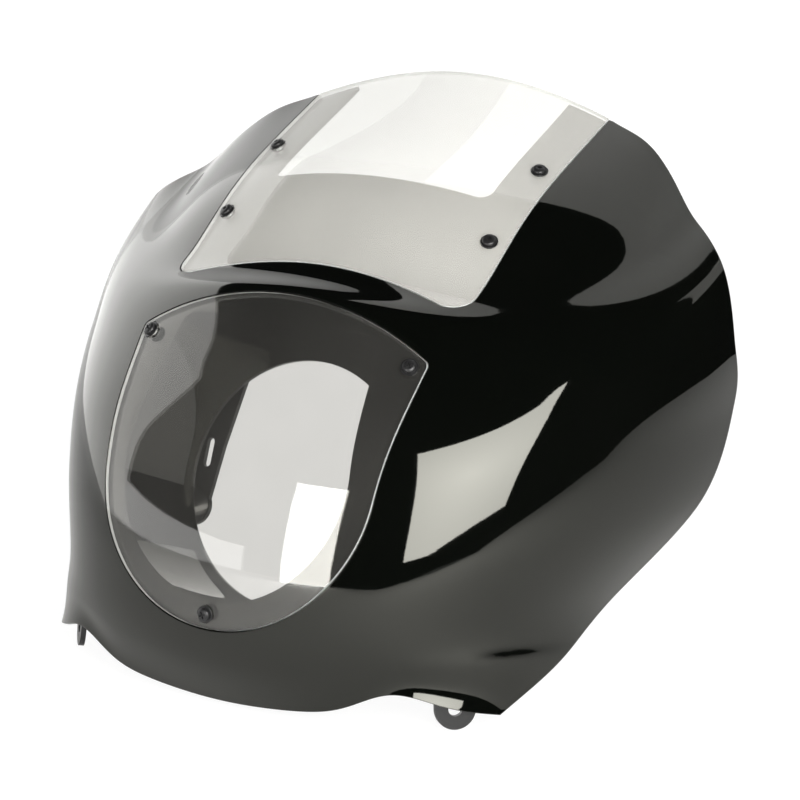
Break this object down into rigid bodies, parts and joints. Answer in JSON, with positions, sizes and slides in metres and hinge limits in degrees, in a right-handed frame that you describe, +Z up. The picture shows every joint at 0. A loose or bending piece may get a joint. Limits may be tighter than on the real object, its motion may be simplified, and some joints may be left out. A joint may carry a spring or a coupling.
{
  "type": "headlight cowl",
  "caption": "Gloss black moulded headlight cowl for a motorcycle, with a clear bubble lens over the lamp bucket, a clear screen above and two steel brackets",
  "frame": {"origin": "centre of the headlight opening, on the front face of the bucket's back plate", "axes": "-Y is the front of the cowl, +Z is up, +X is the rider's left; the cowl is symmetric about X = 0"},
  "size_m": [0.5324, 0.3564, 0.4191],
  "materials": {
    "gloss_black": "gloss black moulding",
    "clear_panel": "clear polycarbonate",
    "black_hardware": "black plated steel",
    "black_bracket": "black powder-coated steel"
  },
  "bodies": {
    "root": {"cowl_shell": "gloss_black", "headlight_lens": "clear_panel", "windscreen": "clear_panel", "bracket_left": "black_bracket", "bracket_right": "black_bracket", "screen_bolt_low_left": "black_hardware", "screen_bolt_low_right": "black_hardware", "screen_bolt_high_left": "black_hardware", "screen_bolt_high_right": "black_hardware", "screen_washer_low_left": "black_hardware", "screen_washer_low_right": "black_hardware", "screen_washer_high_left": "black_hardware", "screen_washer_high_right": "black_hardware", "screen_backing_washer_low_left": "black_hardware", "screen_backing_washer_low_right": "black_hardware", "screen_backing_washer_high_left": "black_hardware", "screen_backing_washer_high_right": "black_hardware", "screen_nut_low_left": "black_hardware", "screen_nut_low_right": "black_hardware", "screen_nut_high_left": "black_hardware", "screen_nut_high_right": "black_hardware", "lens_screw_left": "black_hardware", "lens_screw_right": "black_hardware", "lens_screw_bottom": "black_hardware", "lens_washer_left": "black_hardware", "lens_washer_right": "black_hardware", "lens_washer_bottom": "black_hardware", "lens_backing_washer_left": "black_hardware", "lens_backing_washer_right": "black_hardware", "lens_nut_left": "black_hardware", "lens_nut_right": "black_hardware", "bracket_bolt_low_left": "black_hardware", "bracket_bolt_low_right": "black_hardware", "bracket_bolt_high_left": "black_hardware", "bracket_bolt_high_right": "black_hardware", "bracket_washer_low_left": "black_hardware", "bracket_washer_low_right": "black_hardware", "bracket_washer_high_left": "black_hardware", "bracket_washer_high_right": "black_hardware"}
  },
  "joints": []
}
